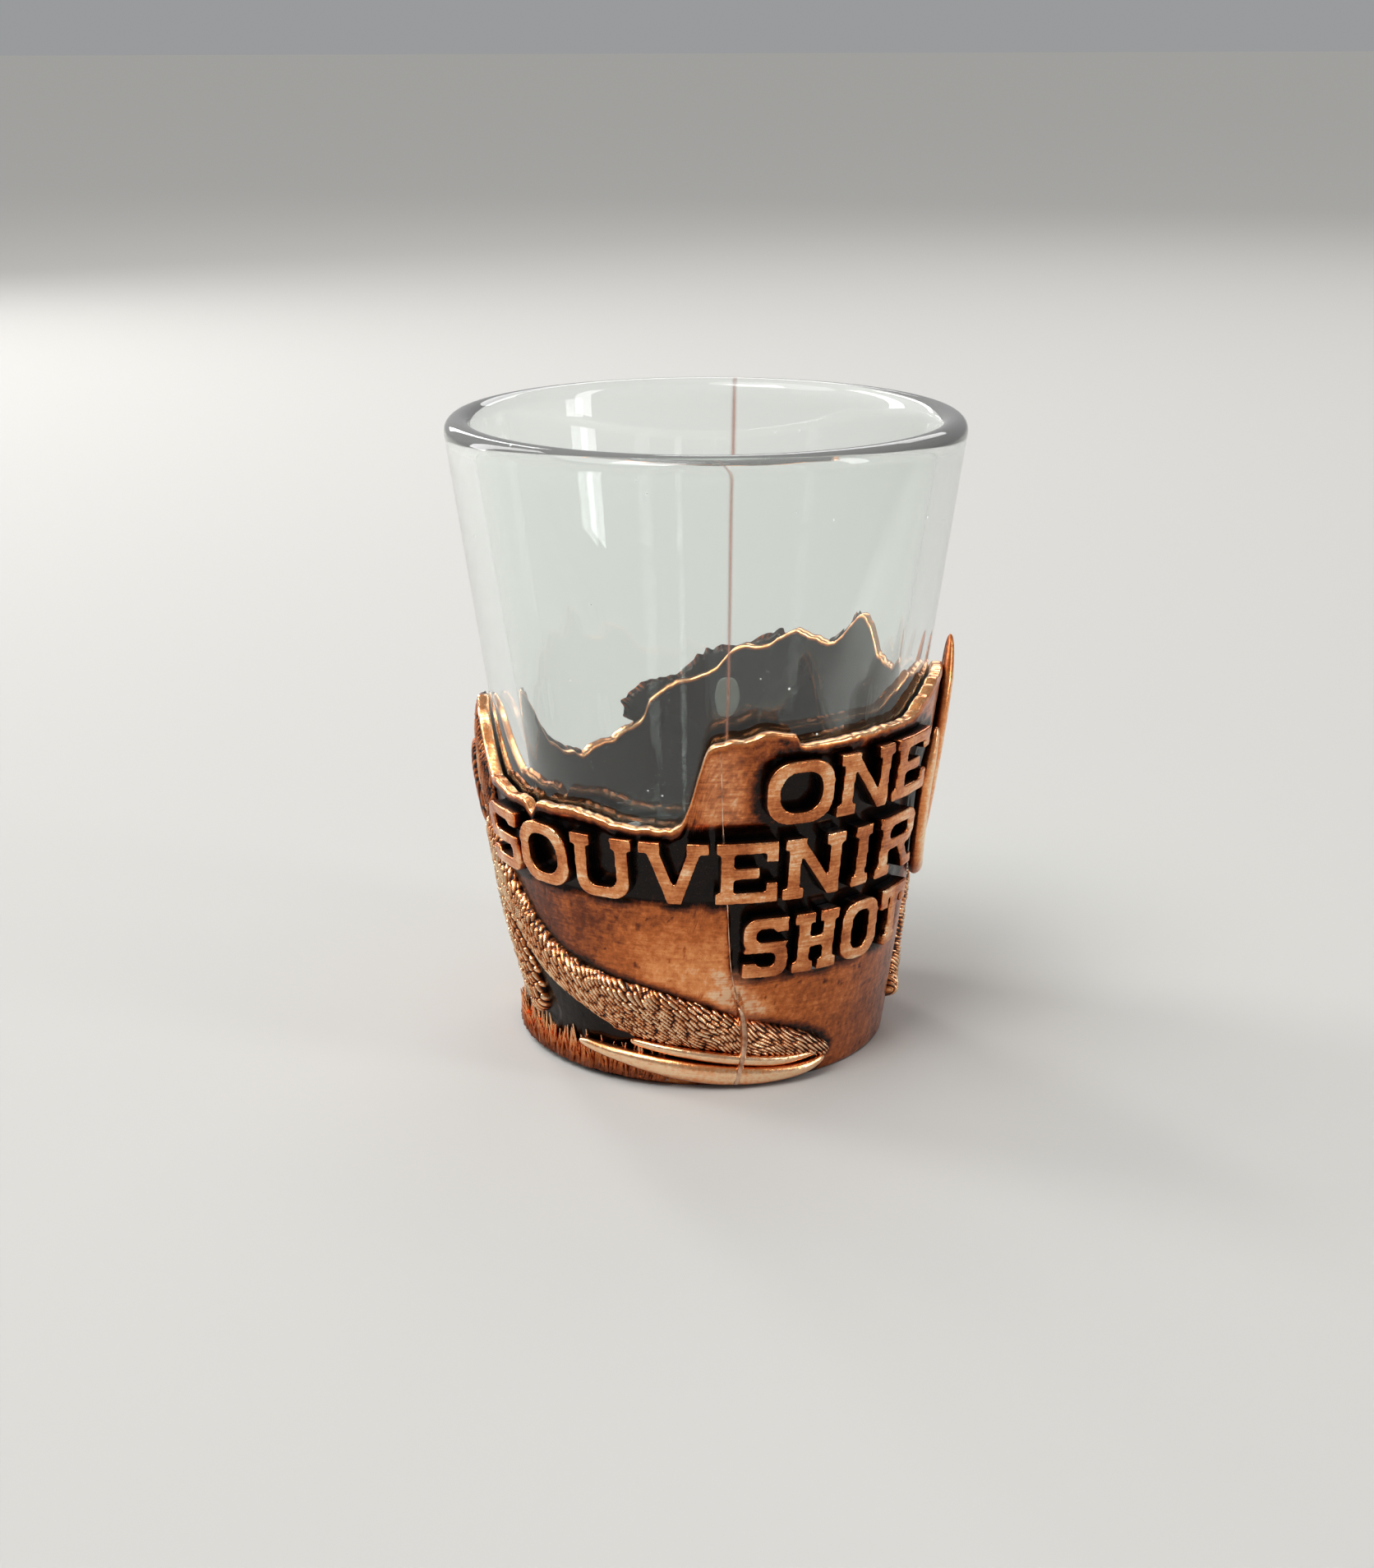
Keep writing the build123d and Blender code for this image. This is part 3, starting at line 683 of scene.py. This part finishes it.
def combed(along, across, lean, seed, length=1.5, width=0.36):
    """Height from 0 to 1 of combed locks. They lie along the first direction, turned by lean.

    Rows of locks wave side by side. Each row has its own start and length of lock, and each lock
    tapers to a point, has a height of its own and is cut by three threads.
    """
    a = along * cos(lean) + across * sin(lean)
    b = across * cos(lean) - along * sin(lean)
    b = b + 0.9 * grain(a / 2.4 + 50, b / 2.8 + 50, seed + 1)
    row = np.floor(b / width)
    start = np.sin(row * 91.7 + seed) * SCATTER
    stretch = 0.7 + 0.6 * (np.sin(row * 37.3 + seed) * 0.5 + 0.5)
    lock = a / (length * stretch) + (start - np.floor(start))
    share = lock - np.floor(lock)
    taper = np.clip(np.minimum(share / 0.3, (1 - share) / 0.7), 0.02, 1) ** 0.45
    rounding = np.clip(1 - (np.abs(2 * (b / width - row) - 1) / taper) ** 3, 0, 1)
    ends = np.clip(np.minimum(share / 0.12, (1 - share) / 0.08), 0, 1) ** 0.7
    own = np.sin(np.floor(lock) * 57.3 + row * 12.9 + seed) * 0.5 + 0.5
    threads = 0.86 + 0.14 * np.sin(b / width * 2 * pi * 3 + 5 * own)
    return rounding * ends * (0.72 + 0.28 * own) * threads


def unroll(angle, height):
    """Millimetres round the relief from the front."""
    return np.radians(angle) * (glass_radius(height) + MIDDLE_RELIEF)


def roll(x, height):
    """Degrees round from the front, for a place on the unrolled relief."""
    return np.degrees(x / (glass_radius(height) + MIDDLE_RELIEF))


def beside(line, across):
    """Places on the unrolled relief, at distances across a line."""
    heading = np.gradient(line[:, :2], axis=0)
    heading /= np.hypot(heading[:, 0], heading[:, 1])[:, None]
    x = line[:, :1] - heading[:, 1:] * across
    z = np.clip(line[:, 1:2] + heading[:, :1] * across, LOWEST, None)
    return x, z


def run_along(line):
    """Millimetres along a line, from its start to each of its points."""
    return np.concatenate([[0], np.cumsum(np.hypot(*np.diff(line[:, :2], axis=0).T))])


def beyond(end, neighbour):
    """The place one half width past the end of a limb."""
    end, neighbour = np.array(end), np.array(neighbour)
    away = (end - neighbour)[:2] / hypot(*(end - neighbour)[:2]) * end[2]
    return end[0] + away[0], end[1] + away[1], end[2]


def limb(name, stations, node, seed, steps, hair=HAIR, lean=0.0, root=ROOT, top=MIDDLE_RELIEF,
         nails=False, joined=0.0, material=antique_copper):
    """A raised limb along a line of (angle, height, half width), rounded across, with hair.

    Its first part, a share of its length, rises out of the form that it is joined to.
    """
    knots = [(unroll(a, h), h, w) for a, h, w in stations]
    knots = [beyond(*knots[:2])] + knots + [beyond(knots[-1], knots[-2])]
    line = smooth_line(knots, steps[0])
    run = run_along(line)
    near_end = np.minimum(np.minimum(run / knots[0][2], (run[-1] - run) / knots[-1][2]), 1)
    cap = np.sqrt(np.clip(1 - (1 - near_end) ** 2, 0.0004, 1))
    spread = -np.cos(np.linspace(0, pi, steps[1]))
    # Two more columns run under the limb, at its root.
    s = np.concatenate([spread, [0.7, -0.7]])
    on_top = np.arange(len(s)) < steps[1]
    half = (line[:, 2] * cap)[:, None]
    edge = np.sign(s) * np.abs(s) ** 6 * RAGGED * hair / HAIR
    wobble = grain(run[:, None] / 0.5 + 30 + 0 * s, 9 * np.sign(s) + 0 * half, seed + 7) - 0.5
    across = half * s + edge * wobble * 2 * on_top
    x, z = beside(line, across)
    pillow = np.sqrt(np.clip(1 - np.abs(s) ** 2.6, 0, 1)) * cap[:, None] ** 0.5
    if joined:
        pillow = pillow * (0.5 + 0.5 * step(0, joined, run / run[-1]))[:, None]
    fur = combed(run[:, None] + 0 * s, across, lean, seed)
    rise = EDGE + (top - EDGE) * pillow - hair * (1 - fur) * pillow ** 0.5
    if nails:
        for spot in (-0.62, 0, 0.62):
            toe = np.exp(-((s[None] - spot) / 0.24) ** 2 - ((z - 0.75) / 0.45) ** 2)
            rise = np.minimum(rise + 0.5 * toe, HIGH_RELIEF)
            fur = np.maximum(fur, toe)
    offset = np.where(on_top, rise, root)
    wear = 0.2 + 0.72 * pillow ** 2
    if hair:
        wear = 0.15 + fur * (0.74 + 0.66 * pillow) + 0.1 * wobble
    piece = skin(name, on_cone(roll(x, z), z, offset), material,
                 values={"wear": np.where(on_top, wear, 0)})
    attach(piece, "root")
    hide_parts(node)


def mound(name, outline, node, top, seed, steps=(420, 56), hair=HAIR, eye=None, swell=3.0,
          low=EDGE):
    """A raised form inside a closed outline of (angle, height), hung with combed hair.

    It stays just below the wrap's top edge. It can have an eye, at an angle and a height.
    """
    knots = [(unroll(a, h), h) for a, h in outline]
    rim = smooth_line(knots, steps[0], closed=True)
    rim_top = top_edge(roll(rim[:, 0], rim[:, 1])) - 0.25
    rim[:, 1] = np.minimum(rim[:, 1], rim_top)
    middle = rim.mean(0)
    ray = rim - middle
    run = run_along(rim)
    shaggy = 1 + 0.05 * (grain(run / 0.55 + 30, run * 0, seed + 9) - 0.7)
    # Two more columns run under the form, from its edge to its middle.
    s = np.concatenate([np.linspace(0, 1, steps[1]) ** 0.8, [0.93, 0]])
    on_top = np.arange(len(s)) < steps[1]
    spots = middle + ray[:, None] * (s * np.where(s > 0.9, shaggy[:, None], 1))[..., None]
    x, z = spots[..., 0], spots[..., 1]
    pillow = np.clip(1 - s ** swell, 0, 1) ** 0.5 + 0 * x
    drift = 3.2 * (grain(x / 8 + 50, z / 8, seed + 4) - 0.5)
    fur = combed(z, x + drift, WOOL_LEAN, seed, *WOOL_LOCK)
    lumps = 0.22 * (grain(x / 4.5 + 50, z / 4.5, seed + 5) - 0.5)
    rise = low + (top - low) * pillow - hair * (1 - fur) * pillow ** 0.5
    rise += (lumps - 0.11) * pillow
    wear = 0.10 + fur * (0.55 + 0.55 * pillow) + 1.6 * lumps * fur
    if eye:
        # A ball in a dark socket.
        away = np.hypot(x - unroll(*eye), z - eye[1])
        socket, ball = np.exp(-(away / 0.95) ** 4), np.exp(-(away / 0.42) ** 4)
        rise = rise - 0.35 * socket + 0.42 * ball
        wear = wear * (1 - 0.85 * socket) + 0.85 * ball
    rise = np.minimum(rise, top + 0.2 * (top < HIGH_RELIEF))
    offset = np.where(on_top, rise, ROOT)
    piece = skin(name, on_cone(roll(x, z), z, offset), antique_copper, around=True,
                 values={"wear": np.where(on_top, wear, 0)})
    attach(piece, "root")
    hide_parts(node)


def tusk(name, stations, node, seed, steps=(150, 28)):
    """A smooth curved tusk: a tapering rod, a little flattened against the wrap."""
    line = smooth_line([(unroll(a, h), h, w) for a, h, w in stations], steps[0])
    share = np.linspace(0, 1, steps[0])
    to_end = np.clip(np.minimum(share, 1 - share) / 0.07, 0, 1)
    point = np.sqrt(np.clip(1 - (1 - to_end) ** 2, 0.01, 1))
    rings_of_growth = 1 + 0.03 * (grain(share * 55, share * 0, seed) - 0.5)
    half = (line[:, 2] * point * rings_of_growth)[:, None]
    round_it = np.linspace(0, 2 * pi, steps[1], endpoint=False)
    across = half * np.cos(round_it)
    thick = np.minimum(half, (HIGH_RELIEF - PLATE) / 2) * np.sin(round_it)
    x, z = beside(line, across)
    shine = 0.62 + 0.34 * np.sin(round_it) + 0.12 * (grain(across * 3 + 40, z / 1.7, seed) - 0.5)
    piece = skin(name, on_cone(roll(x, z), z, (HIGH_RELIEF + PLATE) / 2 - 0.01 + thick),
                 antique_copper, values={"wear": np.clip(shine, 0.08, 1)})
    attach(piece, "root")
    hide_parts(node)


mound("calf_body_wool", [(-104, 31), (-128, 29), (-145, 29), (-152, 23), (-154, 14), (-150, 8.5),
                         (-135, 7), (-120, 7), (-108, 9), (-101, 15), (-99, 24)],
      "calf_body", LOW_RELIEF, seed=41)
mound("calf_head_wool", [(-98, 36), (-86, 36), (-79, 31), (-76, 23.5), (-78, 17.5), (-85, 14.5),
                         (-94, 15), (-101, 20), (-103, 29)],
      "calf_head", MIDDLE_RELIEF, seed=43, steps=(360, 50), eye=(-82.5, 22.5))
mound("calf_ear_flap", [(-98.5, 27.5), (-94, 28), (-90.5, 25), (-92.5, 20), (-97, 19.5)],
      "calf_ear", EAR_FACE, hair=0.16, seed=45, steps=(160, 30), swell=5,
      low=LOW_RELIEF)
limb("calf_trunk_wool", [(-83, 19.8, 2.2), (-74, 17.6, 1.8), (-62, 14.2, 1.7),
                         (-50, 10.9, 1.8), (-36, 9.0, 2.2), (-20, 7.4, 2.8), (-5, 6.4, 2.5),
                         (9, 5.2, 2.0), (23, 4.1, 1.6), (36, 2.7, 1.0)],
     "calf_trunk", lean=-0.5, seed=51, steps=(420, 64))
tusk("calf_tusk_near_smooth", [(-40, 3.4, 0.4), (-26, 2.9, 0.75), (-12, 2.2, 1.0), (4, 1.5, 1.05),
                               (20, 1.15, 0.85), (31, 1.3, 0.6), (37, 1.9, 0.3)],
     "calf_tusk", seed=55)
tusk("calf_tusk_far_smooth", [(-22, 4.6, 0.35), (-8, 3.9, 0.5), (8, 3.1, 0.55), (22, 2.5, 0.5),
                              (34, 2.6, 0.25)], "calf_tusk", seed=57)
# The first leg is raised and reaches forward, and the others stand.
calf_legs = [
    [(-79, 17.0, 1.7), (-72, 13.0, 1.8), (-65, 9.0, 1.7), (-59, 5.5, 1.3)],
    [(-103, 15, 2.6), (-102, 9, 2.0), (-102, 5, 1.5), (-102, 1.8, 1.6)],
    [(-114, 12, 1.8), (-113, 7, 1.4), (-113, 4, 1.1), (-113, 1.6, 1.3)],
    [(-143, 15, 3.2), (-145, 9, 2.3), (-145.5, 5, 1.6), (-145, 1.8, 1.8)],
]
for number, stations in enumerate(calf_legs, 1):
    is_raised = number == 1
    limb(f"calf_leg_{number}", stations, "calf_legs", lean=0.15, seed=60 + number,
         steps=(170, 42), nails=not is_raised, joined=0.0 if is_raised else 0.5)

mound("bull_body_wool", [(134, 40), (160, 41), (182, 39), (197, 36), (202, 27), (201, 17),
                         (196, 11), (180, 9.5), (160, 8.5), (144, 9), (134, 13), (128, 21),
                         (128, 31)],
      "bull_body", LOW_RELIEF, seed=71, steps=(520, 76))
mound("bull_head_wool", [(127, 41), (118, 40.5), (112.5, 34), (110.5, 27.5), (112, 21),
                         (119, 17.5), (127, 18.5), (132.5, 23), (134.5, 30), (132, 37)],
      "bull_head", MIDDLE_RELIEF, seed=73, steps=(360, 50), eye=(117.5, 29.5))
mound("bull_ear_flap", [(126, 31), (131.5, 31), (134, 26), (130.5, 21.5), (126.5, 24.5)],
      "bull_ear", EAR_FACE, hair=0.16, seed=75, steps=(160, 30), swell=5,
      low=LOW_RELIEF)
limb("bull_trunk_wool", [(114, 25, 2.3), (107, 20, 2.1), (100, 14.5, 1.8), (96, 8.5, 1.5),
                         (91, 4.2, 1.2), (84.5, 3.4, 0.8)],
     "bull_trunk", lean=1.2, seed=77, steps=(300, 56))
tusk("bull_tusk_near_smooth", [(116, 19, 1.3), (106, 16, 1.25), (96, 16.6, 1.2), (89.5, 21, 1.15),
                               (86.5, 27, 1.0), (88, 33, 0.8), (94, 38.5, 0.4)],
     "bull_tusk_near", seed=81, steps=(200, 28))
tusk("bull_tusk_far_smooth", [(83, 16.6, 1.1), (76.5, 18.4, 1.1), (72, 22.5, 1.0), (70.5, 27, 0.8),
                              (73, 31.6, 0.4)], "bull_tusk_far", seed=83)
bull_legs = [
    [(141, 17, 3.4), (140.5, 11, 2.6), (140.5, 6, 1.9), (140.5, 1.9, 2.1)],
    [(153, 13.5, 2.2), (152.5, 9, 1.8), (152.5, 5, 1.4), (152.5, 1.7, 1.6)],
    [(179, 14, 2.4), (180.5, 9, 1.8), (180.5, 5, 1.4), (180.5, 1.7, 1.6)],
    [(191, 18, 3.8), (194, 11, 2.8), (194.5, 6, 2.0), (194, 2.0, 2.2)],
]
for number, stations in enumerate(bull_legs, 1):
    limb(f"bull_leg_{number}", stations, "bull_legs", lean=0.15, seed=90 + number,
         steps=(170, 46), nails=True, joined=0.5)


# ------------------------------------------------------------------ grass
# A low fringe of grass cast along the foot of the wrap, at the left. Its blades are set along
# a line just above the bottom edge, each leaned and sized a little differently.

GRASS_SEED = 7
BLADE_TIP = 0.00004
BLADE_RADIUS = 0.00034
BLADE_LEAN = 0.32
FULL_TURN = 6.28
GRASS_LOWEST = 0.00005

grass_tree = bpy.data.node_groups.new("grass_blades", "GeometryNodeTree")
sockets = grass_tree.interface
sockets.new_socket("Line", in_out="INPUT", socket_type="NodeSocketGeometry")
for label, kind in (("Blades", "NodeSocketInt"), ("Blade length", "NodeSocketFloat"),
                    ("Blade radius", "NodeSocketFloat"), ("Lean", "NodeSocketFloat"),
                    ("Finish", "NodeSocketMaterial")):
    sockets.new_socket(label, in_out="INPUT", socket_type=kind)
sockets.new_socket("Grass", in_out="OUTPUT", socket_type="NodeSocketGeometry")
given = grass_tree.nodes.new("NodeGroupInput").outputs
curve = add(grass_tree, "GeometryNodeMeshToCurve", {"Mesh": given["Line"]})
spots = add(grass_tree, "GeometryNodeResampleCurve", {"Curve": curve.outputs[0],
                                                      "Count": given["Blades"]})
blade = add(grass_tree, "GeometryNodeMeshCone",
            {"Vertices": 6, "Side Segments": 4, "Radius Top": BLADE_TIP,
             "Radius Bottom": given["Blade radius"], "Depth": given["Blade length"]})
lean_back = add(grass_tree, "ShaderNodeMath", {0: given["Lean"], 1: -1.0},
                operation="MULTIPLY").outputs[0]
low_turn = add(grass_tree, "ShaderNodeCombineXYZ", {"X": lean_back, "Y": lean_back})
high_turn = add(grass_tree, "ShaderNodeCombineXYZ", {"X": given["Lean"], "Y": given["Lean"],
                                                     "Z": FULL_TURN})
turn = add(grass_tree, "FunctionNodeRandomValue",
           {0: low_turn.outputs[0], 1: high_turn.outputs[0], "Seed": GRASS_SEED},
           data_type="FLOAT_VECTOR")
size = add(grass_tree, "FunctionNodeRandomValue", {2: 0.55, 3: 1.1, "Seed": GRASS_SEED + 1},
           data_type="FLOAT")
standing = add(grass_tree, "GeometryNodeInstanceOnPoints",
               {"Points": spots.outputs[0], "Instance": blade.outputs[0],
                "Rotation": turn.outputs[0], "Scale": size.outputs[1]})
real = add(grass_tree, "GeometryNodeRealizeInstances", {"Geometry": standing.outputs[0]})
painted = add(grass_tree, "GeometryNodeSetMaterial", {"Geometry": real.outputs[0],
                                                      "Material": given["Finish"]})
grass_tree.links.new(painted.outputs[0], grass_tree.nodes.new("NodeGroupOutput").inputs[0])

# Each row: height of its line, offset, number of blades, and length of a blade in metres.
grass_rows = [(1.15, 1.75, 170, 0.0030), (0.7, 2.0, 150, 0.0020)]
for number, (base, out, blades, length) in enumerate(grass_rows, 1):
    turns = np.linspace(-89, -12, 110)
    line_mesh = bpy.data.meshes.new("grass_line")
    line_mesh.from_pydata(on_cone(turns, base + 0 * turns, out).tolist(),
                          [(i, i + 1) for i in range(len(turns) - 1)], [])
    grass = bpy.data.objects.new(f"grass_blades_{number}", line_mesh)
    bpy.context.scene.collection.objects.link(grass)
    modifier = grass.modifiers.new("blades", "NODES")
    modifier.node_group = grass_tree
    wanted = {"Blades": blades, "Blade length": length, "Blade radius": BLADE_RADIUS,
              "Lean": BLADE_LEAN, "Finish": antique_copper}
    for item in sockets.items_tree:
        if item.in_out == "INPUT" and item.name in wanted:
            modifier[item.identifier] = wanted[item.name]
    blades_mesh = settle_modifiers(grass)
    points = mesh_points(blades_mesh)
    points[:, 2] = np.clip(points[:, 2], GRASS_LOWEST, None)
    set_points(blades_mesh, points, np.clip(0.25 + points[:, 2] / MM * 0.2, 0, 0.9))
    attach(grass, "root")
    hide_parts("grass_fringe")


# ------------------------------------------------------------------ solder
# Tin solder, washed with copper. A thin fill closes the seam to just below the wrap's face, and
# on the lowest stretch the solder stands proud as a smooth bead.

BEAD_FACE = 2.88
FILL_FACE = PLATE - 0.06

solder = new_material("tin_solder_copper_washed", "#D8B598")
tree = solder.node_tree
place = add(tree, "ShaderNodeTexCoord").outputs["Object"]
dull = add(tree, "ShaderNodeTexNoise", {"Vector": place, "Scale": 900,
                                        "Detail": 3}).outputs["Fac"]
colour = tone_ramp(tree, dull, [(0.35, "#9C6648"), (0.62, "#EBC9AB")])
rough = add(tree, "ShaderNodeMapRange", {"Value": dull, 3: 0.15, 4: 0.34})
bump = add(tree, "ShaderNodeBump", {"Height": dull, "Strength": 0.3, "Distance": 0.00008})
shader = add(tree, "ShaderNodeBsdfPrincipled",
             {"Base Color": colour, "Metallic": 1.0, "Roughness": rough.outputs[0],
              "Normal": bump.outputs[0], "Coat Weight": 0.3, "Coat Roughness": 0.08})
add(tree, "ShaderNodeOutputMaterial", {"Surface": shader.outputs[0]})

limb("seam_bead", [(8.8, 8.6, 0.25), (9.8, 7.6, 0.42), (10.6, 5.0, 0.5), (9.8, 2.6, 0.46),
                   (8.6, 0.9, 0.5)],
     "seam_solder", hair=0, seed=101, steps=(90, 24), top=BEAD_FACE, material=solder)
limb("seam_fill", [(3.5, 33.4, 0.10), (4.1, 26.7, 0.12), (5.5, 19.0, 0.10), (6.9, 12.2, 0.12),
                   (9.2, 8.6, 0.16)],
     "seam_solder", hair=0, seed=103, steps=(160, 10), top=FILL_FACE, root=GLUE_GAP,
     material=solder)


# ------------------------------------------------------------------ glue
# Clear dabs pressed out flat between the tumbler and the wrap. They show as pale ovals where
# they are seen through the glass.

DAB_HALF_ANGLE = 4.4
DAB_HALF_HEIGHT = 2.4
# The middle of each dab, by angle and height.
DABS = [(173, 27.7), (140, 12), (100, 26), (50, 14), (-40, 18), (-85, 22), (-130, 14)]

clear_glue = new_material("clear_hot_glue", "#DDD8CC")
tree = clear_glue.node_tree
place = add(tree, "ShaderNodeTexCoord").outputs["Object"]
milky = add(tree, "ShaderNodeTexNoise", {"Vector": place, "Scale": 700,
                                         "Detail": 3}).outputs["Fac"]
colour = tone_ramp(tree, milky, [(0.0, "#B4AE9F"), (1.0, "#E6E1D4")])
shader = add(tree, "ShaderNodeBsdfPrincipled",
             {"Base Color": colour, "Roughness": 0.28, "IOR": 1.49,
              "Transmission Weight": 0.85})
add(tree, "ShaderNodeOutputMaterial", {"Surface": shader.outputs[0]})

# From the middle of a dab's outer face, over its edge, to the middle of its inner face.
turn = np.radians(np.linspace(0, 360, 64, endpoint=False))[:, None]
share = np.array([0, 0.25, 0.5, 0.7, 0.85, 0.95, 1.0, 0.95, 0.7, 0.3, 0])
bulge = np.array([0.185] * 5 + [0.17, 0.1, 0.03, 0.015, 0.015, 0.015])
for number, (middle_angle, middle_height) in enumerate(DABS):
    squash = grain(np.cos(turn) * 1.5 + 20 + number, np.sin(turn) * 1.5 + 20, 5)
    squash = 0.9 + 0.18 * (squash - 0.5)
    dab = skin(f"glue_dab_{number + 1}",
               on_cone(middle_angle + DAB_HALF_ANGLE * share * np.sin(turn) * squash,
                       middle_height + DAB_HALF_HEIGHT * share * np.cos(turn) * squash,
                       bulge + 0 * turn), clear_glue, around=True)
    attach(dab, "root")
    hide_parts("adhesive_dabs")
